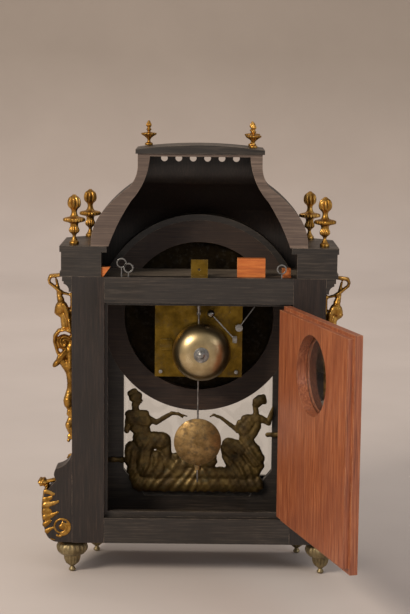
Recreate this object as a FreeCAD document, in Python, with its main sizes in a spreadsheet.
import FreeCAD
import Part
import Sketcher
import math
import os
from types import SimpleNamespace

# Bracket clock with a domed top. Front (dial side) faces -Y, the open back faces +Y, Z = 0 is the table,
# X = 0 is the middle. All sizes are millimetres. The rear door rests open.

doc = FreeCAD.newDocument("bracket_clock")
sheet = doc.addObject("Spreadsheet::Sheet", "Sizes")

DRIVING = (
    # case
    ("rear_y", 88), ("rear_frame_thick", 22), ("case_half", 203), ("case_bottom", 56), ("case_top", 493.6),
    ("side_thick", 12), ("board_thick", 14), ("board_y", -32), ("front_y", -86), ("corner_cut", 42),
    ("stile_inner", 151), ("rail_bottom_top", 98), ("rail_top_bottom", 452), ("lip_side", 5), ("lip_bottom", 9),
    ("lip_top", 5), ("lip_thick", 10), ("shelf_thick", 12), ("cornice_out", 15.5), ("cornice_drop", 24.6),
    # dial and lower window
    ("dial_z", 414), ("ring_inner", 124.6), ("ring_outer", 160.6), ("window_half", 125.5), ("window_low", 105),
    ("window_bevel", 45), ("window_low_half", 89), ("dial_r", 130), ("dial_thick", 3),
    # shoulders, hood and dome
    ("strip_thick", 8.4), ("shoulder_outer", 220), ("shoulder_inner", 156), ("shoulder_lap", 8.5),
    ("shoulder_top", 533), ("shoulder_cap", 9.6), ("shoulder_over", 2.5), ("hood_thick", 10),
    ("dome_foot", 172.7), ("dome_neck", 98.5), ("dome_neck_z", 666), ("dome_knee", 160),
    ("dome_knee_z", 590), ("dome_waist", 125), ("dome_waist_z", 625), ("dome_wall", 8),
    ("deck_bottom", 690), ("deck_edge", 697), ("deck_rise", 7), ("deck_half", 102),
    ("rear_board", 14), ("fret_r", 5.5), ("fret_pitch", 23.5), ("fret_z", 679),
    # rear door
    ("door_gap", 1.2), ("door_bead", 3), ("door_inner_thick", 9), ("door_open", 107), ("door_window_r", 62),
    ("door_window_z", 366), ("glass_thick", 2), ("glass_rebate", 4), ("hinge_r", 3.2), ("hinge_pin_r", 1.4),
    ("hinge_long", 46), ("hinge_inset", 62), ("hinge_leaf", 1.4), ("hinge_width", 17),
    # front door
    ("front_gap", 1.6), ("front_door_thick", 16), ("front_door_rim", 24), ("front_sill", 104),
    # movement
    ("plate_half", 71.5), ("plate_low", 322), ("plate_high", 478), ("plate_thick", 3), ("back_plate_y", 24),
    ("front_plate_y", -38), ("pillar_x", 62), ("pillar_inset", 9), ("pillar_r", 4), ("pivot_r", 2),
    ("pivot_play", 0.05), ("barrel_x", 36), ("barrel_z", 361), ("barrel_r", 24), ("great_wheel_r", 30),
    ("pinion_r", 4), ("inter_x", 28), ("third_x", -21.3), ("escape_z", 35), ("wheel_thick", 2),
    ("third_z", 21.9), ("fly_x", 50), ("fly_z", 16), ("pin_wheel_r", 24), ("mesh_gap", 0.5),
    ("minute_reach", 104), ("hour_reach", 68), ("escape_r", 12.5),
    # pendulum
    ("pendulum_y", 34), ("suspension_z", 466), ("bob_z", 214), ("bob_r", 39), ("bob_thick", 22), ("rod_r", 1.5),
    ("nut_r", 6), ("nut_long", 7), ("rod_low", 146),
    # bell and hammer
    ("bell_x", -5), ("bell_z", 365), ("bell_r", 47.8), ("bell_y", 37.5), ("bell_deep", 29), ("bell_wall", 2.2), ("stand_r", 3),
    ("hammer_x", -59), ("hammer_z", 387), ("ball_x", -20), ("ball_z", 429), ("ball_r", 6.2), ("lever_x", -66), ("lever_pin_r", 1.5),
    ("lever_z", 405), ("lever_end_x", -91), ("lever_end_z", 440),
    # feet, finials and mounts
    ("foot_high", 56), ("foot_r", 26), ("rear_foot_x", 205), ("rear_foot_y", 60), ("front_foot_x", 172),
    ("front_foot_y", -54), ("urn_high", 80), ("urn_r", 18), ("rear_urn_x", 201), ("rear_urn_y", 60),
    ("front_urn_x", 184), ("front_urn_y", -62), ("finial_high", 40), ("finial_r", 12.5), ("finial_x", 84),
    ("finial_front_y", 4), ("finial_rear_y", 74), ("console_thick", 38), ("console_out", 50), ("figure_thick", 26),
    ("relief_thick", 5), ("rest_gap", 0.3),
)


class Size:
    """A number together with the sheet expression that gives it."""

    def __init__(self, value, text):
        self.value = float(value)
        self.text = text

    def __add__(self, other):
        other = size(other)
        return Size(self.value + other.value, f"({self.text} + {other.text})")

    def __sub__(self, other):
        other = size(other)
        return Size(self.value - other.value, f"({self.text} - {other.text})")

    def __mul__(self, other):
        other = size(other)
        return Size(self.value * other.value, f"({self.text} * {other.text})")

    def __truediv__(self, other):
        other = size(other)
        return Size(self.value / other.value, f"({self.text} / {other.text})")

    def __neg__(self):
        return Size(-self.value, f"(-1 * {self.text})")

    def __radd__(self, other):
        return size(other) + self

    def __rsub__(self, other):
        return size(other) - self

    def __rmul__(self, other):
        return size(other) * self


def size(number):
    if isinstance(number, Size):
        return number
    return Size(number, f"({float(number)!r})")


def root(number):
    return Size(math.sqrt(number.value), f"sqrt({number.text})")


def reach(dx, dz):
    return root(dx * dx + dz * dz)


s = SimpleNamespace()
for row, (alias, value) in enumerate(DRIVING, start=1):
    sheet.set(f"A{row}", alias)
    sheet.set(f"B{row}", str(value))
    sheet.setAlias(f"B{row}", alias)
    setattr(s, alias, Size(value, f"Sizes.{alias}"))
doc.recompute()

nodes = {}


def bind(obj, prop, number):
    obj.setExpression(prop, size(number).text)


def place(obj, x=0, y=0, z=0, turn=0):
    """Puts obj at x, y, z, turned about Z by a fixed angle."""
    obj.Placement = FreeCAD.Placement(
        FreeCAD.Vector(size(x).value, size(y).value, size(z).value),
        FreeCAD.Rotation(FreeCAD.Vector(0, 0, 1), turn),
    )
    bind(obj, "Placement.Base.x", x)
    bind(obj, "Placement.Base.y", y)
    bind(obj, "Placement.Base.z", z)
    return obj


def node(name, obj):
    obj.Label = name
    nodes[name] = obj
    return obj


# Sketches. A wire is ("circle", u, v, radius) or a list of points (u, v), where (u, v, "via") is a point that the
# arc between its two neighbours passes through.


def pin(sketch, geometry, end, u, v):
    for kind, number in (("DistanceX", u), ("DistanceY", v)):
        index = sketch.addConstraint(Sketcher.Constraint(kind, -1, 1, geometry, end, size(number).value))
        if isinstance(number, Size):
            sketch.setExpression(f"Constraints[{index}]", number.text)


def vector(point):
    return FreeCAD.Vector(size(point[0]).value, size(point[1]).value, 0)


def add_wire(sketch, wire):
    if wire[0] == "circle":
        u, v, radius = wire[1:]
        index = sketch.addGeometry(Part.Circle(vector((u, v)), FreeCAD.Vector(0, 0, 1), size(radius).value), False)
        pin(sketch, index, 3, u, v)
        number = sketch.addConstraint(Sketcher.Constraint("Radius", index, size(radius).value))
        sketch.setExpression(f"Constraints[{number}]", size(radius).text)
        return
    corners = [i for i, point in enumerate(wire) if len(point) == 2]
    edges = []
    for at, first in enumerate(corners):
        last = corners[(at + 1) % len(corners)]
        middle = wire[(first + 1) % len(wire)]
        if len(middle) < 3:
            line = Part.LineSegment(vector(wire[first]), vector(wire[last]))
            edges.append((sketch.addGeometry(line, False), 1, 2, wire[first], None))
            continue
        start, via, end = vector(wire[first]), vector(middle), vector(wire[last])
        if (via - start).cross(end - via).z > 0:
            edges.append((sketch.addGeometry(Part.Arc(start, via, end), False), 1, 2, wire[first], middle))
        else:
            edges.append((sketch.addGeometry(Part.Arc(end, via, start), False), 2, 1, wire[first], middle))
    for index, head, tail, start, middle in edges:
        pin(sketch, index, head, *start)
        if middle:
            dot = sketch.addGeometry(Part.Point(vector(middle)), True)
            pin(sketch, dot, 1, middle[0], middle[1])
            sketch.addConstraint(Sketcher.Constraint("PointOnObject", dot, 1, index))
    for at, (index, head, tail, start, middle) in enumerate(edges):
        following = edges[(at + 1) % len(edges)]
        sketch.addConstraint(Sketcher.Constraint("Coincident", index, tail, following[0], following[1]))


def body(name):
    made = doc.addObject("PartDesign::Body", name)
    return made


def sketch_on(made, role, offset, wires):
    plane = next(feature for feature in made.Origin.OriginFeatures if feature.Role == role)
    sketch = made.newObject("Sketcher::SketchObject", f"{made.Name}_sketch")
    sketch.AttachmentSupport = (plane, [""])
    sketch.MapMode = "FlatFace"
    sketch.AttachmentOffset = FreeCAD.Placement(FreeCAD.Vector(0, 0, size(offset).value), FreeCAD.Rotation())
    if isinstance(offset, Size):
        sketch.setExpression("AttachmentOffset.Base.z", offset.text)
    for wire in wires:
        add_wire(sketch, wire)
    return sketch


def pad(made, role, offset, length, *wires):
    """XY pads rise along +Z, YZ pads along +X, and XZ pads run towards -Y from Y = -offset."""
    feature = made.newObject("PartDesign::Pad", f"{made.Name}_pad")
    feature.Profile = sketch_on(made, role, offset, wires)
    feature.Length = size(length).value
    bind(feature, "Length", length)
    return feature


def upright(made, y_front, y_back, *wires):
    """A board whose outline is drawn in X and Z and which fills y_front to y_back."""
    return pad(made, "XZ_Plane", -size(y_back), size(y_back) - size(y_front), *wires)


def flat(made, z_low, z_high, *wires):
    return pad(made, "XY_Plane", z_low, size(z_high) - size(z_low), *wires)


def sideways(made, x_low, x_high, *wires):
    return pad(made, "YZ_Plane", x_low, size(x_high) - size(x_low), *wires)


def turned(made, wire, offset=0):
    """Turns an outline, drawn as radius and height, about Z."""
    feature = made.newObject("PartDesign::Revolution", f"{made.Name}_turned")
    sketch = sketch_on(made, "XZ_Plane", offset, [wire])
    feature.Profile = sketch
    feature.ReferenceAxis = (sketch, ["V_Axis"])
    feature.Angle = 360
    return feature


def rectangle(u_low, v_low, u_high, v_high):
    return [(u_low, v_low), (u_high, v_low), (u_high, v_high), (u_low, v_high)]


def rod(name, x, z, y_front, y_back, radius):
    """A plain round rod along Y."""
    made = body(name)
    upright(made, y_front, y_back, ("circle", x, z, radius))
    return made


def joined(name, *parts):
    made = doc.addObject("Part::MultiFuse", name)
    made.Shapes = list(parts)
    return made


def group(name, *parts):
    made = doc.addObject("Part::Compound", name)
    made.Links = list(parts)
    return made


def formed(name, shape):
    """A casting or toothed wheel, whose outline no sketch feature fits."""
    made = doc.addObject("Part::Feature", name)
    made.Shape = shape
    return made


SIDES = (("left", 1), ("right", -1))


# Case


def case_outline(y_back):
    """Plan of the case: a rectangle with its two front corners cut off at 45 degrees."""
    half, front, cut = s.case_half, s.front_y, s.corner_cut
    return [
        (half, y_back),
        (-half, y_back),
        (-half, front + cut),
        (cut - half, front),
        (half - cut, front),
        (half, front + cut),
    ]


def make_case():
    inner_y = s.rear_y - s.rear_frame_thick
    floor_top = s.case_bottom + s.board_thick
    shelf_low = s.case_top - s.shelf_thick
    base = node("base_board", body("base_board"))
    flat(base, s.case_bottom, floor_top, case_outline(inner_y))
    cornices = []
    for side, sign in SIDES:
        stile = node(f"rear_stile_{side}", body(f"rear_stile_{side}"))
        upright(stile, inner_y, s.rear_y, rectangle(sign * s.stile_inner, s.case_bottom, sign * s.case_half, s.case_top))
        lip = rectangle(sign * (s.stile_inner - s.lip_side), s.rail_bottom_top, sign * (s.stile_inner + 1), s.rail_top_bottom)
        upright(stile, inner_y, inner_y + s.lip_thick, lip)
        panel = node(f"side_panel_{side}", body(f"side_panel_{side}"))
        outer = sign * s.case_half
        inner = sign * (s.case_half - s.side_thick)
        flat(panel, floor_top, s.case_top, rectangle(inner, s.front_y + s.corner_cut, outer, inner_y))
        corner = node(f"canted_corner_{side}", body(f"canted_corner_{side}"))
        face = s.case_half - s.corner_cut
        flat(corner, floor_top, s.case_top, [
            (outer, s.front_y + s.corner_cut),
            (sign * face, s.front_y),
            (sign * face, s.board_y - s.board_thick),
            (inner, s.board_y - s.board_thick),
            (inner, s.front_y + s.corner_cut),
        ])
        cornice = body(f"cornice_{side}")
        cornices.append(cornice)
        low = s.case_top - s.cornice_drop
        out = s.case_half + s.cornice_out
        upright(cornice, s.front_y + s.corner_cut, s.rear_y, [
            (outer, low),
            (sign * (s.case_half + 5), low),
            (sign * (s.case_half + 6.5), low + 8.5, "via"),
            (sign * (out - 2.5), low + 13),
            (sign * (out - 2.5), low + 17),
            (sign * out, low + 17),
            (sign * out, s.case_top),
            (outer, s.case_top),
        ])
    node("cornice", group("cornice", *cornices))
    top_rail = node("rear_top_rail", body("rear_top_rail"))
    upright(top_rail, inner_y, s.rear_y, rectangle(-s.stile_inner, s.rail_top_bottom, s.stile_inner, s.case_top))
    lip_half = s.stile_inner - s.lip_side
    upright(top_rail, inner_y, inner_y + s.lip_thick,
            rectangle(-lip_half, s.rail_top_bottom - s.lip_top, lip_half, s.rail_top_bottom + 1))
    low_rail = node("rear_bottom_rail", body("rear_bottom_rail"))
    upright(low_rail, inner_y, s.rear_y, rectangle(-s.stile_inner, s.case_bottom, s.stile_inner, s.rail_bottom_top))
    upright(low_rail, inner_y, inner_y + s.lip_thick,
            rectangle(-lip_half, s.rail_bottom_top - 1, lip_half, s.rail_bottom_top + s.lip_bottom))
    shelf = node("shelf_board", body("shelf_board"))
    shelf_half = s.case_half - s.side_thick
    flat(shelf, shelf_low, s.case_top, rectangle(-shelf_half, s.board_y, shelf_half, inner_y))
    sill = node("front_sill", body("front_sill"))
    face = s.case_half - s.corner_cut
    upright(sill, s.front_y, s.board_y - s.board_thick, rectangle(-face, floor_top, face, s.front_sill))

    front_back = s.board_y - s.board_thick
    window_side = s.window_low + s.window_bevel
    ring_low = s.dial_z - root(s.ring_outer * s.ring_outer - s.window_half * s.window_half)
    board = node("front_board", body("front_board"))
    board_half = s.case_half - s.side_thick
    upright(board, front_back, s.board_y, board_outline(board_half, floor_top, window_side, ring_low))
    ring = node("dial_ring", body("dial_ring"))
    upright(ring, front_back, s.board_y,
            ("circle", 0, s.dial_z, s.ring_outer), ("circle", 0, s.dial_z, s.ring_inner))


def board_outline(board_half, floor_top, window_side, ring_low):
    """Front board in one outline: the window below and the seat of the dial ring above, open at the top."""
    top = s.case_top
    seat = root(s.ring_outer * s.ring_outer - (top - s.dial_z) * (top - s.dial_z))
    return [
        (seat, top),
        (s.ring_outer, s.dial_z, "via"),
        (s.window_half, ring_low),
        (s.window_half, window_side),
        (s.window_low_half, s.window_low),
        (-s.window_low_half, s.window_low),
        (-s.window_half, window_side),
        (-s.window_half, ring_low),
        (-s.ring_outer, s.dial_z, "via"),
        (-seat, top),
        (-board_half, top),
        (-board_half, floor_top),
        (board_half, floor_top),
        (board_half, top),
    ]


make_case()

# Dome


dome_foot_z = s.shoulder_top + s.shoulder_cap


def shoulders():
    """The strip, block and cap that stand on each side of the dome."""
    cut = s.corner_cut - 2
    blocks = []
    for side, sign in SIDES:
        made = body(f"shoulder_block_{side}")
        blocks.append(made)

        def plan(inner, outer, rim):
            return [
                (sign * inner, s.rear_y),
                (sign * outer, s.rear_y),
                (sign * outer, s.front_y + cut),
                (sign * (outer - cut + rim), s.front_y + rim),
                (sign * s.dome_foot, s.front_y + rim),
                (sign * s.dome_foot, s.rear_y - s.rear_board),
                (sign * inner, s.rear_y - s.rear_board),
            ]

        strip_top = s.case_top + s.strip_thick
        inner = s.shoulder_inner
        flat(made, s.case_top, strip_top, plan(inner, s.shoulder_outer + 2, size(0)))
        flat(made, strip_top, s.shoulder_top, plan(inner, s.shoulder_outer, size(2)))
        flat(made, s.shoulder_top, s.shoulder_top + s.shoulder_cap,
             plan(inner - s.shoulder_lap, s.shoulder_outer + s.shoulder_over, size(0)))
    node("shoulder_blocks", group("shoulder_blocks", *blocks))


def bell_profile(grow):
    """The dome's ogee, moved outward by grow, from its foot to its neck."""
    return [
        (s.dome_foot + grow, s.case_top),
        (s.dome_foot + grow, dome_foot_z),
        (s.dome_foot - 3 + grow, dome_foot_z + 26, "via"),
        (s.dome_knee + grow, s.dome_knee_z),
        (s.dome_waist + 15 + grow, s.dome_waist_z - 12, "via"),
        (s.dome_waist - 13 + grow, s.dome_waist_z + 12),
        (s.dome_neck + 2.5 + grow, s.dome_neck_z - 10, "via"),
        (s.dome_neck + grow, s.dome_neck_z + 6),
        (s.dome_neck + grow, s.deck_bottom),
    ]


def across(name, grow, y_front, y_back):
    """A prism along Y with the ogee on both sides."""
    made = body(name)
    right = bell_profile(grow)
    left = [(-point[0],) + point[1:] for point in reversed(right)]
    upright(made, y_front, y_back, right + left)
    return made


def along(name, grow, half):
    """A prism along X with the ogee in front, as deep as it is wide on the sides."""
    made = body(name)
    shift = s.front_y + 4 + s.dome_foot
    profile = [(shift - point[0],) + point[1:] for point in bell_profile(grow)]
    rear = s.rear_y - s.rear_board
    sideways(made, -half, half, profile + [(rear, s.deck_bottom), (rear, s.case_top)])
    return made


def combined(kind, name, base, tool):
    made = doc.addObject(kind, name)
    made.Base = base
    made.Tool = tool
    return made


def wedge(name, wire, z_low, z_high):
    made = body(name)
    flat(made, z_low, z_high, wire)
    return made


def dome():
    rear = s.rear_y - s.rear_board
    span = s.dome_foot + 30
    outer = combined("Part::Common", "dome_outer", across("dome_across", size(0), s.front_y, rear),
                     along("dome_along", size(0), span))
    inner = combined("Part::Common", "dome_inner",
                     across("dome_across_in", -s.dome_wall, s.front_y, s.rear_y),
                     along("dome_along_in", -s.dome_wall, span))
    shell = combined("Part::Cut", "dome_shell", outer, inner)
    hood_hole = rod("dome_hood_hole", 0, s.dial_z, s.front_y - 10, s.board_y, s.ring_outer + s.hood_thick)
    shell = combined("Part::Cut", "dome_open_shell", shell, hood_hole)
    # mitre planes run at 45 degrees from the outer front corners
    front = s.front_y + 4
    corner = s.dome_foot
    mitre = 120
    front_plan = [
        (-corner - 1, front - 1),
        (corner + 1, front - 1),
        (corner - mitre, front + mitre),
        (mitre - corner, front + mitre),
    ]
    front_wedge = wedge("dome_front_wedge", front_plan, s.case_top - 5, s.deck_bottom + 5)
    front_piece = combined("Part::Common", "dome_front_plain", shell, front_wedge)
    frets = []
    for index in range(6):
        x = s.fret_pitch * (index - 2.5)
        frets.append(rod(f"fret_{index}", x, s.fret_z, s.front_y, rear - 20, s.fret_r))
    node("dome_front", combined("Part::Cut", "dome_front", front_piece, group("frets", *frets)))
    for side, sign in SIDES:
        plan = [
            (sign * (corner + 1), front - 1),
            (sign * (corner - mitre), front + mitre),
            (sign * (corner - mitre), rear),
            (sign * (corner + 1), rear),
        ]
        half = wedge(f"dome_{side}_wedge", plan, s.case_top - 5, s.deck_bottom + 5)
        node(f"dome_side_{side}", combined("Part::Common", f"dome_side_{side}", shell, half))
    frame = node("dome_rear_frame", body("dome_rear_frame"))
    right = bell_profile(size(0))[1:]
    left = [(-point[0],) + point[1:] for point in reversed(right)]
    inner_right = [
        (s.dome_foot - 28, dome_foot_z),
        (s.dome_knee - 32, s.dome_knee_z - 8, "via"),
        (s.dome_waist - 16, s.dome_waist_z - 10),
        (s.dome_neck - 12, s.dome_neck_z - 14, "via"),
        (s.dome_neck - 19, s.deck_bottom - 4),
    ]
    inner_left = [(-point[0],) + point[1:] for point in reversed(inner_right)]
    upright(frame, rear, s.rear_y, right + left + list(reversed(inner_right + inner_left)))
    deck = node("top_deck", body("top_deck"))
    upright(deck, s.finial_front_y - 16, s.rear_y + 2, [
        (-s.deck_half, s.deck_bottom),
        (s.deck_half, s.deck_bottom),
        (s.deck_half, s.deck_edge),
        (0, s.deck_edge + s.deck_rise, "via"),
        (-s.deck_half, s.deck_edge),
    ])
    # arched hood over the front door, standing on the box
    hood = node("arch_hood", body("arch_hood"))
    face = s.case_half - s.corner_cut
    low = s.case_top - s.dial_z
    hood_in = s.ring_outer
    hood_out = s.ring_outer + s.hood_thick
    in_foot = root(hood_in * hood_in - low * low)
    out_foot = root(hood_out * hood_out - low * low)
    upright(hood, s.front_y - 4, s.board_y, [
        (in_foot, s.case_top),
        (0, s.dial_z + hood_in, "via"),
        (-in_foot, s.case_top),
        (-out_foot, s.case_top),
        (0, s.dial_z + hood_out, "via"),
        (out_foot, s.case_top),
    ])
    for side, sign in SIDES:
        upright(hood, s.front_y, s.board_y - s.board_thick, [
            (sign * hood_in, s.dial_z),
            (sign * face, s.dial_z),
            (sign * face, s.case_top),
            (sign * in_foot, s.case_top),
            (sign * hood_in * math.cos(math.radians(15)), s.dial_z + hood_in * math.sin(math.radians(15)), "via"),
        ])


shoulders()
dome()


# Doors


def box(name, x_low, y_low, z_low, x_high, y_high, z_high):
    made = doc.addObject("Part::Box", name)
    for prop, low, high in (("Length", x_low, x_high), ("Width", y_low, y_high), ("Height", z_low, z_high)):
        setattr(made, prop, (size(high) - low).value)
        bind(made, prop, size(high) - low)
    return place(made, x_low, y_low, z_low)


def cylinder(name, x, y, z, radius, height):
    made = doc.addObject("Part::Cylinder", name)
    made.Radius = size(radius).value
    made.Height = size(height).value
    bind(made, "Radius", radius)
    bind(made, "Height", height)
    return place(made, x, y, z)


def cone(name, x, y, z, low_radius, high_radius, height):
    made = doc.addObject("Part::Cone", name)
    made.Radius1 = low_radius
    made.Radius2 = high_radius
    made.Height = height
    return place(made, x, y, z)


def ball(name, x, y, z, radius):
    made = doc.addObject("Part::Sphere", name)
    made.Radius = size(radius).value
    bind(made, "Radius", radius)
    return place(made, x, y, z)


def hinge_half(name, moving, plate, tab, z):
    """One half of a butt hinge about the local Z axis: its leaf and its knuckles, with the pin on the fixed half.

    plate and tab are (x_low, x_high, y_low, y_high); the tab joins the plate to its own knuckles.
    """
    third = s.hinge_long / 3
    spans = ((1, 2),) if moving else ((0, 1), (2, 3))
    low = z - s.hinge_long / 2
    pieces = [box(f"{name}_leaf", plate[0], plate[2], low, plate[1], plate[3], low + s.hinge_long)]
    for number, (first, last) in enumerate(spans):
        bottom = low + third * first + s.rest_gap / 2
        tall = third * (last - first) - s.rest_gap
        pieces.append(cylinder(f"{name}_knuckle_{number}", 0, 0, bottom, s.hinge_r, tall))
        pieces.append(box(f"{name}_tab_{number}", tab[0], tab[2], bottom, tab[1], tab[3], bottom + tall))
    if moving:
        bore = cylinder(f"{name}_bore", 0, 0, low, s.hinge_pin_r + s.pivot_play, s.hinge_long)
        return combined("Part::Cut", f"{name}_half", joined(f"{name}_solid", *pieces), bore)
    pieces.append(cylinder(f"{name}_pin", 0, 0, low, s.hinge_pin_r, s.hinge_long))
    return joined(f"{name}_half", *pieces)


def swung(obj, x, y, angle=None):
    """Puts a piece that was drawn about the local Z axis on its hinge line."""
    place(obj, x, y, 0)
    if angle is not None:
        obj.Placement = FreeCAD.Placement(obj.Placement.Base, FreeCAD.Rotation(FreeCAD.Vector(0, 0, 1), angle.value))
        bind(obj, "Placement.Rotation.Angle", angle)
    return obj


def arch(half, low, radius):
    """A round-headed outline whose head is centred on the dial."""
    return [(-half, low), (half, low), (half, s.dial_z), (0, s.dial_z + radius, "via"), (-half, s.dial_z)]


def rear_door():
    knuckle_y = s.hinge_r + s.rest_gap
    axis_x = -s.stile_inner + s.door_gap / 2
    axis_y = s.rear_y + knuckle_y
    outer_thick = s.rear_frame_thick - s.lip_thick - s.rest_gap
    left = s.door_gap / 2
    right = 2 * s.stile_inner - s.door_gap * 1.5
    low = s.rail_bottom_top + s.door_gap
    high = s.rail_top_bottom - s.door_gap
    middle = s.stile_inner - s.door_gap / 2
    hole_small = s.door_window_r - s.glass_rebate
    door = node("rear_door", body("rear_door"))
    leaf = rectangle(left, low, right, high)
    stop = -knuckle_y - s.door_bead
    upright(door, stop, -knuckle_y, leaf, ("circle", middle, s.door_window_z, hole_small))
    upright(door, -knuckle_y - outer_thick, stop, leaf, ("circle", middle, s.door_window_z, s.door_window_r))
    inner_low = s.rail_bottom_top + s.lip_bottom + s.door_gap
    inner_high = s.rail_top_bottom - s.lip_top - s.door_gap
    upright(door, -knuckle_y - outer_thick - s.door_inner_thick, -knuckle_y - outer_thick,
            rectangle(left + s.lip_side, inner_low, right - s.lip_side, inner_high),
            ("circle", middle, s.door_window_z, s.door_window_r))
    swung(door, axis_x, axis_y, s.door_open)
    glass = node("rear_door_glass", body("rear_door_glass"))
    upright(glass, stop - s.glass_thick, stop, ("circle", middle, s.door_window_z, s.door_window_r - s.rest_gap))
    swung(glass, axis_x, axis_y, s.door_open)
    reach_in = s.hinge_r + 0.5
    face = (-knuckle_y, -knuckle_y + s.hinge_leaf)
    fixed, moving = [], []
    for end, z in (("low", low + s.hinge_inset), ("high", high - s.hinge_inset)):
        still = hinge_half(f"rear_{end}_fixed", False, (-s.hinge_width, -reach_in, *face), (-reach_in, 0, *face), z)
        fixed.append(swung(still, axis_x, axis_y))
        turning = hinge_half(f"rear_{end}_moving", True, (reach_in, s.hinge_width, *face), (0, reach_in, *face), z)
        moving.append(swung(turning, axis_x, axis_y, s.door_open))
    node("rear_door_hinges", group("rear_door_hinges", *moving))
    return fixed


def front_door():
    radius = s.ring_outer - s.front_gap
    low = s.front_sill + s.front_gap
    back = s.front_y + s.front_door_thick
    step = back - 3 * s.glass_thick
    rim = s.front_door_rim
    door = node("front_door", body("front_door"))
    upright(door, s.front_y, step, arch(radius, low, radius), arch(radius - rim, low + rim, radius - rim))
    wide = radius - rim + s.glass_rebate
    deep = low + rim - s.glass_rebate
    upright(door, step, back, arch(radius, low, radius), arch(wide, deep, wide))
    glass = node("front_door_glass", body("front_door_glass"))
    upright(glass, step, step + s.glass_thick, arch(wide - s.rest_gap, deep + s.rest_gap, wide - s.rest_gap))
    edge = (s.case_half - s.corner_cut - radius) / 2
    axis_x = radius + edge
    axis_y = s.front_y - s.hinge_r - s.rest_gap
    reach_in = s.hinge_r + 0.5
    leaf_end = s.hinge_width
    fixed, moving = [], []
    for end, z in (("low", low + s.hinge_inset), ("high", s.dial_z - s.hinge_inset)):
        thin = edge * 0.8
        still = hinge_half(f"front_{end}_fixed", False, (edge - thin, edge, reach_in, leaf_end),
                           (edge - thin, edge, 0, reach_in), z)
        fixed.append(swung(still, axis_x, axis_y))
        turning = hinge_half(f"front_{end}_moving", True, (-edge, thin - edge, reach_in, leaf_end),
                             (-edge, thin - edge, 0, reach_in), z)
        moving.append(swung(turning, axis_x, axis_y))
    node("front_door_hinges", group("front_door_hinges", *moving))
    return fixed


fixed_hinges = rear_door() + front_door()
node("case_hinges", group("case_hinges", *fixed_hinges))

# Movement. Each arbor is (x, z); the wheels mesh where two centre distances say.

inter_z = s.barrel_z + root(
    (s.great_wheel_r + s.pinion_r) * (s.great_wheel_r + s.pinion_r) - (s.barrel_x - s.inter_x) * (s.barrel_x - s.inter_x)
)
inter_wheel_r = reach(s.inter_x, s.dial_z - inter_z) - s.pinion_r
centre_wheel_r = reach(s.third_x, s.third_z) - s.pinion_r
third_wheel_r = reach(s.third_x, s.escape_z - s.third_z) - s.pinion_r
third_at = (s.third_x, s.dial_z + s.third_z)
escape_at = (size(0), s.dial_z + s.escape_z)
pallet_at = (size(0), s.suspension_z)
fly_at = (-s.fly_x, s.dial_z + s.fly_z)
hammer_at = (s.hammer_x, s.hammer_z)
ARBORS = (
    (s.barrel_x, s.barrel_z),
    (-s.barrel_x, s.barrel_z),
    (s.inter_x, inter_z),
    (-s.inter_x, inter_z),
    (size(0), s.dial_z),
    third_at,
    escape_at,
    pallet_at,
    fly_at,
    hammer_at,
)


def gear_shape(radius, teeth, thick, slots=True):
    """A wheel with round-topped teeth about the local Y axis, crossed out by round holes."""
    tall = 2.2 * radius / teeth
    points = []
    for number in range(teeth):
        for share, grow in ((-0.3, -tall), (-0.14, 0), (0.14, 0), (0.3, -tall)):
            angle = 2 * math.pi * (number + share) / teeth
            points.append(FreeCAD.Vector((radius + grow) * math.cos(angle), 0, (radius + grow) * math.sin(angle)))
    points.append(points[0])
    solid = Part.Face(Part.makePolygon(points)).extrude(FreeCAD.Vector(0, thick, 0))
    if slots:
        hole = radius * 0.2
        for number in range(5):
            angle = 2 * math.pi * number / 5
            centre = FreeCAD.Vector(radius * 0.56 * math.cos(angle), -1, radius * 0.56 * math.sin(angle))
            solid = solid.cut(Part.makeCylinder(hole, thick + 2, centre, FreeCAD.Vector(0, 1, 0)))
    return solid


def round_bar(radius, y_low, y_high):
    return Part.makeCylinder(radius, y_high - y_low, FreeCAD.Vector(0, y_low, 0), FreeCAD.Vector(0, 1, 0))


def arbor_shape(y_low, y_high, wheel_r, wheel_y, teeth, pinion_y, drum=None):
    """An arbor with its wheel and leaf pinion, drawn about the local Y axis."""
    pivot = s.pivot_r.value
    shape = round_bar(pivot, y_low, y_high)
    if wheel_r:
        wheel = gear_shape(wheel_r.value - s.mesh_gap.value / 2, teeth, s.wheel_thick.value)
        wheel.translate(FreeCAD.Vector(0, wheel_y, 0))
        shape = shape.fuse(wheel).fuse(round_bar(pivot * 2, wheel_y - 1, wheel_y + s.wheel_thick.value + 1))
    if pinion_y:
        leaves = gear_shape(s.pinion_r.value - s.mesh_gap.value / 2, 10, pinion_y[1] - pinion_y[0], slots=False)
        leaves.translate(FreeCAD.Vector(0, pinion_y[0], 0))
        shape = shape.fuse(leaves)
    if drum:
        shape = shape.fuse(round_bar(drum[0], drum[1], drum[2]))
    return shape.removeSplitter()


def wheel_node(name, at, shape):
    made = node(name, formed(name, shape))
    place(made, at[0], 0, at[1])
    return made


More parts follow.
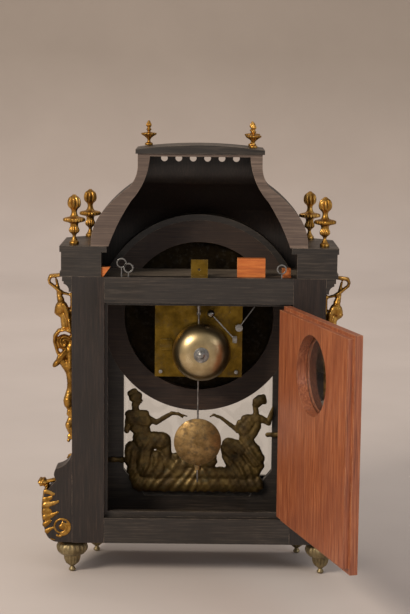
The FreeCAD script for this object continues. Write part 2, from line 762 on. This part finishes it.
def plates():
    holes = [("circle", x, z, s.pivot_r + s.pivot_play) for x, z in ARBORS]
    back = node("back_plate", body("back_plate"))
    outline = rectangle(-s.plate_half, s.plate_low, s.plate_half, s.plate_high)
    lever_hole = ("circle", s.lever_x, s.lever_z, s.lever_pin_r + s.pivot_play)
    upright(back, s.back_plate_y, s.back_plate_y + s.plate_thick, outline, lever_hole, *holes)
    front = node("front_plate", body("front_plate"))
    upright(front, s.front_plate_y, s.front_plate_y + s.plate_thick, outline, *holes)
    posts = []
    front_in = s.front_plate_y + s.plate_thick
    for number, (sign_x, z) in enumerate((
        (1, s.plate_low + s.pillar_inset),
        (-1, s.plate_low + s.pillar_inset),
        (1, s.plate_high - s.pillar_inset),
        (-1, s.plate_high - s.pillar_inset),
    )):
        made = body(f"pillar_{number}")
        span = s.back_plate_y - front_in
        neck = s.pillar_r * 0.7
        turned(made, [
            (0, 0),
            (s.pillar_r, 0),
            (s.pillar_r, span * 0.08),
            (neck, span * 0.2),
            (s.pillar_r * 1.2, span * 0.5, "via"),
            (neck, span * 0.8),
            (s.pillar_r, span * 0.92),
            (s.pillar_r, span),
            (0, span),
        ])
        lay(made, sign_x * s.pillar_x, front_in, z)
        posts.append(made)
        stub = rod(f"pillar_end_{number}", sign_x * s.pillar_x, z, s.back_plate_y + s.plate_thick,
                   s.back_plate_y + s.plate_thick + 5, s.pillar_r * 0.75)
        posts.append(stub)
    node("pillars", group("pillars", *posts))


def lay(obj, x, y, z):
    """Turns a piece made about Z so that it lies along Y, and puts it in place."""
    place(obj, x, y, z)
    obj.Placement = FreeCAD.Placement(obj.Placement.Base, FreeCAD.Rotation(FreeCAD.Vector(1, 0, 0), -90))
    return obj


def trains():
    back_end = s.back_plate_y.value + s.plate_thick.value - 0.3
    front_end = s.front_plate_y.value + 0.3
    wheel = s.great_wheel_r
    face = s.board_y.value - s.board_thick.value - s.dial_thick.value
    square = face - 2.5
    drum = (s.barrel_r.value, -24, 4)
    for name, at in (("going_barrel", (s.barrel_x, s.barrel_z)), ("strike_barrel", (-s.barrel_x, s.barrel_z))):
        shape = arbor_shape(square, back_end, wheel, 5, 72, None, drum)
        wheel_node(name, at, shape)
    wheel_node("intermediate_wheel", (s.inter_x, inter_z),
               arbor_shape(front_end, back_end, inter_wheel_r, 13, 66, (3, 10)))
    pins = arbor_shape(front_end, back_end, s.pin_wheel_r, 16, 60, (3, 10))
    for number in range(8):
        angle = 2 * math.pi * number / 8
        where = FreeCAD.Vector(s.pin_wheel_r.value * 0.82 * math.cos(angle), 12, s.pin_wheel_r.value * 0.82 * math.sin(angle))
        pins = pins.fuse(Part.makeCylinder(1, 5, where, FreeCAD.Vector(0, 1, 0)))
    wheel_node("pin_wheel", (-s.inter_x, inter_z), pins)
    wheel_node("centre_wheel", (size(0), s.dial_z),
               arbor_shape(face - 11, back_end, centre_wheel_r, -8, 66, (11, 18)))
    wheel_node("third_wheel", third_at, arbor_shape(front_end, back_end, third_wheel_r, -18, 52, (-11, -3)))
    wheel_node("escape_wheel", escape_at, arbor_shape(front_end, back_end, s.escape_r, 8, 30, (-21, -13)))
    vane = Part.makeBox(18, 14, 1, FreeCAD.Vector(-9, 0, -0.5))
    wheel_node("fly", fly_at, arbor_shape(front_end, back_end, None, 0, 0, (-18, -8)).fuse(vane))


def escapement():
    """The anchor, its arbor and the crutch that the pendulum rod stands in."""
    y_low = s.front_plate_y.value + 0.3
    plate_back = s.back_plate_y.value + s.plate_thick.value
    crutch_y = plate_back + 1.2
    shape = round_bar(s.pivot_r.value, y_low, crutch_y + 1.6)
    drop = s.suspension_z.value - s.dial_z.value - s.escape_z.value
    arms = [(-3, 3), (3, 3), (13, -5), (13.5, -12), (11.5, -12.5), (10.5, -6.5), (0, -1.5),
            (-10.5, -6.5), (-11.5, -12.5), (-13.5, -12), (-13, -5)]
    scale = drop / 17
    points = [FreeCAD.Vector(x * 1.12 * scale, 8, z * scale) for x, z in arms]
    points.append(points[0])
    shape = shape.fuse(Part.Face(Part.makePolygon(points)).extrude(FreeCAD.Vector(0, 2, 0)))
    long = 40
    shape = shape.fuse(Part.makeBox(4, 1.6, long, FreeCAD.Vector(-2, crutch_y, -long)))
    gap = s.rod_r.value + 0.15
    reach_y = s.pendulum_y.value + s.rod_r.value - crutch_y
    for x in (-gap - 1.2, gap):
        shape = shape.fuse(Part.makeBox(1.2, reach_y, 4, FreeCAD.Vector(x, crutch_y, -long)))
    shape = shape.fuse(Part.makeBox(2 * gap + 2.4, 1.6, 4, FreeCAD.Vector(-gap - 1.2, crutch_y, -long)))
    wheel_node("pallet_arbor", pallet_at, shape.removeSplitter())
    # cock that carries the suspension, and the small cock lower down on the plate
    wide, tall = 16, 8
    post_y = s.back_plate_y + s.plate_thick
    bridge_z = s.suspension_z + 2
    high = s.pendulum_y + 3.5
    bridge = box("cock_bridge", -wide, s.pendulum_y - 2, bridge_z, wide, high, bridge_z + tall)
    legs = [
        box(f"cock_leg_{number}", x, post_y, bridge_z, x + 4, high, bridge_z + tall)
        for number, x in enumerate((-wide, wide - 4))
    ]
    small = box("small_cock", 43, post_y, s.bell_z + 2, 62, post_y + 3, s.bell_z + 20)
    node("plate_cocks", group("plate_cocks", joined("pendulum_cock", bridge, *legs), small))


def pendulum():
    top = s.suspension_z + 1.7
    shape = cylinder("pendulum_shaft", 0, s.pendulum_y, s.rod_low, s.rod_r, top - s.rod_low)
    node("pendulum_rod", shape)
    made = body("bob_lens")
    half = s.bob_thick / 2
    turned(made, [
        (0, -half),
        (s.bob_r * 0.6, -half * 0.72, "via"),
        (s.bob_r, -half * 0.12),
        (s.bob_r, half * 0.12),
        (s.bob_r * 0.6, half * 0.72, "via"),
        (0, half),
    ])
    lay(made, 0, s.pendulum_y, s.bob_z)
    hole = cylinder("bob_bore", 0, s.pendulum_y, s.bob_z - s.bob_r - 5, s.rod_r, 2 * s.bob_r + 10)
    node("pendulum_bob", combined("Part::Cut", "pendulum_bob", made, hole))
    nut_top = s.bob_z - s.bob_r - s.rest_gap
    nut = cylinder("nut_solid", 0, s.pendulum_y, nut_top - s.nut_long, s.nut_r, s.nut_long)
    bore = cylinder("nut_bore", 0, s.pendulum_y, nut_top - s.nut_long - 1, s.rod_r + s.pivot_play, s.nut_long + 2)
    node("rating_nut", combined("Part::Cut", "rating_nut", nut, bore))


def bell_and_hammer():
    made = node("bell", body("bell"))
    deep, wide, wall = s.bell_deep, s.bell_r, s.bell_wall
    turned(made, [
        (wide, 0),
        (wide * 0.8, deep * 0.68, "via"),
        (wide * 0.3, deep),
        (s.stand_r, deep),
        (s.stand_r, deep - wall),
        (wide * 0.28, deep - wall),
        (wide * 0.8 - wall, deep * 0.68 - wall, "via"),
        (wide - wall, 0),
    ])
    lay(made, s.bell_x, s.bell_y, s.bell_z)
    plate_back = s.back_plate_y + s.plate_thick
    arm_y = s.bell_y + 7
    foot_x, foot_z = s.bell_x - 27, s.bell_z - 18
    apex = s.bell_y + deep
    foot = rod("stand_foot", foot_x, foot_z, plate_back, arm_y + 3, s.stand_r)
    arm = rod("stand_hub", s.bell_x, s.bell_z, arm_y - 3, apex, s.stand_r)
    collar = rod("stand_collar", s.bell_x, s.bell_z, arm_y - 3, apex - wall, s.stand_r + 2)
    bridge = body("stand_bridge")
    upright(bridge, arm_y - 2, arm_y + 2, [
        (foot_x - 1, foot_z + 3), (foot_x + 1, foot_z - 3), (s.bell_x + 1, s.bell_z - 3), (s.bell_x - 1, s.bell_z + 3)
    ])
    stand = joined("stand_post", foot, arm, collar, bridge)
    nut = body("bell_nut")
    turned(nut, [(0, 0), (12.5, 0), (12.5, 1.6), (8, 2.6), (8, 4), (5.5, 4.6), (5.5, 8), (3.5, 9.5), (0, 9.5)])
    lay(nut, s.bell_x, apex, s.bell_z)
    node("bell_stand", group("bell_stand", stand, nut))
    # hammer: arbor, arm and ball
    arm_low = s.bell_y.value + 1
    far = FreeCAD.Vector(s.ball_x.value - s.hammer_x.value, 0, s.ball_z.value - s.hammer_z.value)
    shape = round_bar(s.pivot_r.value, s.front_plate_y.value + 0.3, arm_low + 4)
    long = far.Length - s.ball_r.value / 2
    shaft = Part.makeCylinder(1.3, long, FreeCAD.Vector(0, arm_low + 2, 0), far)
    shape = shape.fuse(shaft).fuse(Part.makeBox(7, 5, 11, FreeCAD.Vector(-3.5, arm_low - 0.5, -5.5)))
    shape = shape.fuse(Part.makeSphere(s.ball_r.value, far + FreeCAD.Vector(0, arm_low + 2, 0)))
    wheel_node("hammer", hammer_at, shape)
    lever_y = plate_back.value + 0.3
    far = FreeCAD.Vector(s.lever_end_x.value - s.lever_x.value, 0, s.lever_end_z.value - s.lever_z.value)
    shape = round_bar(6, lever_y, lever_y + 8).fuse(round_bar(s.lever_pin_r.value, plate_back.value - 2, lever_y))
    shape = shape.fuse(Part.makeCylinder(1.2, far.Length, FreeCAD.Vector(0, lever_y + 4, 0), far))
    wheel_node("repeat_lever", (s.lever_x, s.lever_z), shape)


def dial_and_hands():
    back = s.board_y - s.board_thick
    face = back - s.dial_thick
    dial = node("dial_plate", body("dial_plate"))
    winding = [("circle", sign * s.barrel_x, s.barrel_z, s.pivot_r + 2) for sign in (1, -1)]
    pipe_r = s.pivot_r * 2
    upright(dial, face, back, ("circle", 0, s.dial_z, s.dial_r), ("circle", 0, s.dial_z, pipe_r + 0.3), *winding)
    ring = s.dial_r * 0.8
    for hour in range(12):
        angle = math.radians(30 * hour)
        upright(dial, face - 1.6, face, (
            "circle", ring * math.sin(angle), s.dial_z + ring * math.cos(angle), s.dial_r * 0.1,
        ))
    upright(dial, face - 1, face, ("circle", 0, s.dial_z, s.dial_r), ("circle", 0, s.dial_z, s.dial_r * 0.95))
    for x, z in ((-1, -1), (1, -1), (1, 1), (-1, 1)):
        upright(dial, back, s.front_plate_y, ("circle", x * s.plate_half * 0.8, s.dial_z + z * 46, 2.5))
    hand_y = face.value - 5
    pipe = round_bar(pipe_r.value, hand_y, s.front_plate_y.value - 0.3)
    hour_shape = pipe.fuse(round_bar(8, hand_y, hand_y + 1.4)).fuse(hand_blade(s.hour_reach.value, hand_y, 9, 60))
    hour_shape = hour_shape.cut(round_bar(s.pivot_r.value + 0.05, hand_y - 1, 0))
    wheel_node("hour_hand", (size(0), s.dial_z), hour_shape)
    top_y = hand_y - 3
    minute = round_bar(6, top_y, top_y + 1.4).fuse(hand_blade(s.minute_reach.value, top_y, 6, 0))
    minute = minute.cut(round_bar(s.pivot_r.value, top_y - 1, top_y + 3))
    wheel_node("minute_hand", (size(0), s.dial_z), minute)


def hand_blade(long, y, wide, heading):
    """A tapered hand with a heart-shaped swell near its root, pointing heading degrees clockwise from twelve."""
    outline = [(-1.4, 3), (-wide * 0.5, long * 0.26), (-1, long * 0.42), (-wide * 0.24, long * 0.72), (0, long),
               (wide * 0.24, long * 0.72), (1, long * 0.42), (wide * 0.5, long * 0.26), (1.4, 3)]
    points = [FreeCAD.Vector(x, y, z) for x, z in outline]
    points.append(points[0])
    blade = Part.Face(Part.makePolygon(points)).extrude(FreeCAD.Vector(0, 1.4, 0))
    blade.rotate(FreeCAD.Vector(0, 0, 0), FreeCAD.Vector(0, 1, 0), heading)
    return blade


plates()
trains()
escapement()
pendulum()
bell_and_hammer()
dial_and_hands()


# Feet, finials and mounts. Castings are drawn as shares of their own height and radius.


def spindle(name, high, radius, shares, x, y, z):
    """A turned ornament whose outline is given as shares of its radius and height."""
    made = body(name)
    wire = [(size(0), size(0))]
    for point in shares:
        wire.append((radius * point[0], high * point[1]) + tuple(point[2:]))
    wire.append((size(0), high * shares[-1][1]))
    turned(made, wire)
    return place(made, x, y, z)


FOOT = (
    (0.12, 0), (0.22, 0.07, "via"), (0.13, 0.15), (0.2, 0.18), (0.42, 0.27, "via"), (0.55, 0.52), (0.76, 0.55),
    (1, 0.77, "via"), (0.68, 0.94), (0.58, 0.95), (0.58, 1),
)
URN = (
    (0.42, 0), (0.42, 0.05), (0.3, 0.08), (0.16, 0.15), (0.2, 0.2), (0.44, 0.27, "via"), (0.5, 0.4), (0.95, 0.46),
    (1, 0.5), (0.9, 0.53), (0.4, 0.56), (0.26, 0.64), (0.3, 0.7), (0.56, 0.75), (0.54, 0.86, "via"), (0.12, 1),
)
FINIAL = (
    (0.5, 0), (0.5, 0.08), (0.22, 0.14), (0.26, 0.26), (0.6, 0.36), (1, 0.44), (1, 0.49), (0.3, 0.53), (0.2, 0.57),
    (0.34, 0.64, "via"), (0.2, 0.71), (0.4, 0.8, "via"), (0.2, 0.9), (0.1, 1),
)


def repeated(name, high, radius, shares, places):
    made = [
        spindle(f"{name}_{number}", high, radius, shares, x, y, z) for number, (x, y, z) in enumerate(places)
    ]
    node(name, group(name, *made))


def turned_ornaments():
    zero = size(0)
    feet = [(sign * x, y, zero) for x, y in ((s.rear_foot_x, s.rear_foot_y), (s.front_foot_x, s.front_foot_y))
            for sign in (1, -1)]
    repeated("feet", s.foot_high, s.foot_r, FOOT, feet)
    top = s.shoulder_top + s.shoulder_cap
    urns = [(sign * x, y, top) for x, y in ((s.rear_urn_x, s.rear_urn_y), (s.front_urn_x, s.front_urn_y))
            for sign in (1, -1)]
    repeated("urns", s.urn_high, s.urn_r, URN, urns)
    # the deck is a shallow arch, so the finials sit at its height there
    fall = s.deck_rise * (s.finial_x * s.finial_x) / (s.deck_half * s.deck_half)
    seat = s.deck_edge + s.deck_rise - fall + 2 * s.rest_gap
    repeated("top_finials", s.finial_high, s.finial_r, FINIAL, [
        (s.finial_x, s.finial_front_y, seat),
        (-s.finial_x, s.finial_front_y, seat),
        (-s.finial_x, s.finial_rear_y, seat),
    ])


def corner_places():
    """Where the four corners' ornaments stand: x, y and the turn that points them outward."""
    face = s.case_half - s.corner_cut / 2
    slope = s.front_y + s.corner_cut / 2
    rear_y = s.rear_y - s.console_thick / 2
    return (
        (s.case_half, rear_y, 0),
        (-s.case_half, rear_y, 180),
        (face, slope, -45),
        (-face, slope, -135),
    )


def console(name):
    """The scrolled wooden bracket at a corner's foot, drawn outward from the case."""
    thick = s.console_thick / 2
    out = s.console_out
    made = body(name)
    upright(made, -thick, thick, [
        (0, 57),
        (0, 214),
        (out * 0.15, 190, "via"),
        (out * 0.43, 181),
        (out * 0.51, 180),
        (out * 0.58, 168, "via"),
        (out * 0.5, 160),
        (out * 0.78, 145),
        (out * 0.9, 138),
        (out * 0.97, 102, "via"),
        (out * 0.88, 76),
        (out * 0.7, 61, "via"),
        (out * 0.4, 57),
    ])
    return made


def figure(name):
    """A winged bust over a volute and a drop of husks, drawn outward from the case on a narrow back plate."""
    half = s.figure_thick / 2
    parts = []

    def slab(label, share, wire):
        made = body(f"{name}_{label}")
        upright(made, -half * share, half * share, wire)
        parts.append(made)

    slab("plate", 0.5, rectangle(0, 222, 4, 467))
    slab("bracket", 0.9, [(20, 502), (37, 502), (37, 494), (33, 488), (26, 470, "via"), (22, 455), (12, 452),
                          (9, 462, "via"), (4, 466), (4, 468), (17, 469), (17, 492), (20, 492)])
    slab("bust", 0.8, [(3, 434), (9, 434), (8, 428, "via"), (12, 424), (21, 418, "via"), (17, 408), (3, 404)])
    slab("leaf", 0.7, [(3, 376), (14, 374), (30, 362, "via"), (22, 348), (12, 340), (3, 336)])
    slab("stem", 0.3, [(3, 340), (14, 340), (10, 318, "via"), (13, 300), (3, 300)])
    parts.append(ball(f"{name}_head", 14.5, 0, 447, size(10.5)))
    scroll = body(f"{name}_scroll")
    upright(scroll, -half, half, ("circle", 15.5, 391, 15))
    parts.append(scroll)
    parts.append(box(f"{name}_neck", 3, -half * 0.4, 430, 15, half * 0.4, 442))
    for number in range(5):
        wide = 7.5 - number * 0.8
        parts.append(cone(f"{name}_husk_{number}", 8, 0, 290 - 16 * number, wide * 0.45, wide, 13))
    return joined(name, *parts)


def corners():
    consoles, mounts = [], []
    for number, (x, y, turn) in enumerate(corner_places()):
        consoles.append(place(console(f"console_{number}"), x, y, 0, turn))
        mounts.append(place(figure(f"caryatid_{number}"), x, y, 0, turn))
        ear = body(f"ear_{number}")
        half = s.console_thick * 0.3
        upright(ear, -half, half, ("circle", s.console_out, 153, 8))
        upright(ear, -half * 0.6, half * 0.6, [
            (s.console_out * 0.5 + 0.22, 160.2), (s.console_out * 0.76 + 0.22, 146.4), (s.console_out * 0.9, 149),
            (s.console_out, 155), (s.console_out * 0.86, 160),
        ])
        mounts.append(place(ear, x, y, 0, turn))
        for sign in (1, -1):
            made = body(f"rosette_{number}_{'a' if sign > 0 else 'b'}")
            near = sign * s.console_thick / 2
            far = near + sign * 3
            low, high = (near, far) if sign > 0 else (far, near)
            upright(made, low, high, ("circle", 17, 82, 13))
            mounts.append(place(made, x, y, 0, turn))
    node("consoles", group("consoles", *consoles))
    node("corner_mounts", group("corner_mounts", *mounts))


RELIEF = (
    (103, 264), (120, 284), (106, 293), (93, 284), (98, 262), (72, 244), (50, 249), (18, 246), (14, 238), (42, 240),
    (70, 228), (60, 210), (44, 198), (46, 182), (30, 178), (36, 164), (22, 158), (0, 166), (-16, 158), (-24, 164),
    (-42, 160), (-39, 182), (-44, 204), (-70, 206), (-62, 220), (-40, 238), (-18, 238), (-22, 246), (-44, 250),
    (-78, 246), (-96, 254), (-92, 272), (-104, 284), (-117, 272), (-110, 256), (-124, 252), (-134, 260),
    (-132, 246), (-116, 226), (-110, 200), (-118, 172), (-106, 148), (-112, 124), (-90, 106), (90, 106), (112, 124),
    (106, 150), (126, 160), (120, 186), (106, 200), (124, 208), (128, 236),
)


def relief():
    """Two seated allegorical women with their hands reaching over the pendulum, cast in one plate with its lugs."""
    low = s.board_y.value
    points = [FreeCAD.Vector(x, low, z) for x, z in RELIEF + RELIEF[:1]]
    plate = Part.Face(Part.makePolygon(points)).extrude(FreeCAD.Vector(0, s.relief_thick.value, 0))
    back = low + s.relief_thick.value
    behind = Part.makeBox(400, 60, 400, FreeCAD.Vector(-200, low + 1, 0))
    swells = (
        (106, 279, 11, 9), (112, 244, 13, 6), (88, 236, 17, 8), (66, 212, 15, 7), (92, 190, 18, 8), (62, 188, 15, 8),
        (-104, 270, 11, 9), (-88, 242, 14, 7), (-98, 224, 13, 6), (-92, 204, 14, 6), (-94, 180, 18, 8),
        (-60, 186, 18, 8), (76, 130, 22, 7), (34, 134, 24, 6), (-8, 138, 18, 5), (-48, 132, 22, 6), (-82, 130, 18, 7),
    )
    for x, z, wide, deep in swells:
        radius = (wide * wide + deep * deep) / (2 * deep)
        dome_cap = Part.makeSphere(radius, FreeCAD.Vector(x, back - radius + deep, z))
        plate = plate.fuse(dome_cap.common(behind))
    for x, z, long in ((112, 172, 40), (-148, 213, 36)):
        plate = plate.fuse(Part.makeBox(long, 3, 11, FreeCAD.Vector(x, low, z - 5.5)))
    node("relief_group", formed("relief_group", plate.removeSplitter()))


def rail_fittings():
    """Lock, wire eyes and raw wood blocks along the top of the rear rail."""
    rail_y = s.rear_y - 8
    top = s.case_top
    case = box("lock_case", -14, rail_y - 8, top, 13, rail_y - 3, top + 28)
    keyhole = rod("lock_keyhole", 0, top + 12, rail_y - 10, rail_y, size(2))
    foot = box("lock_foot", -14, rail_y - 3, top, 13, rail_y + 6, top + 2)
    node("cover_lock", joined("cover_lock", combined("Part::Cut", "lock_body", case, keyhole), foot))
    eyes = []
    for number, (x, long) in enumerate(((124, 22), (113, 14), (-132, 14))):
        made = body(f"wire_eye_{number}")
        shank = cylinder(f"wire_shank_{number}", x, rail_y, top, size(1.2), size(long) - 8)
        upright(made, rail_y - 1.2, rail_y + 1.2, ("circle", x, top + long, 8), ("circle", x, top + long, 6))
        eyes.append(joined(f"eye_{number}", shank, made))
    node("wire_eyes", group("wire_eyes", *eyes))
    blocks = [
        box("raw_block", -106, rail_y - 22, top, -61, rail_y - 6, top + 30),
        box("raw_chip", -147, rail_y - 22, top, -133, rail_y - 8, top + 14),
    ]
    chock = body("corner_chock")
    upright(chock, rail_y - 10, rail_y + 5, [
        (s.shoulder_inner - 3, top), (s.shoulder_inner - 0.3, top), (s.shoulder_inner - 0.3, top + 15),
        (s.shoulder_inner - 14, top + 15),
    ])
    node("glue_blocks", group("glue_blocks", chock, *blocks))


turned_ornaments()
corners()
relief()
rail_fittings()


# Hand-in: every object is sound, every node is one or more valid solids

doc.recompute()
for obj in doc.Objects:
    if "Invalid" in obj.State or "Error" in obj.State:
        raise RuntimeError(f"{obj.Name}: {obj.State}")
os.makedirs("parts", exist_ok=True)
for name, obj in nodes.items():
    shape = obj.Shape
    if shape.isNull() or not shape.isValid() or not shape.Solids:
        raise RuntimeError(f"{name}: its shape is not sound")
    shape.exportStep(os.path.join("parts", f"{name}.step"))
print(f"{len(nodes)} nodes")
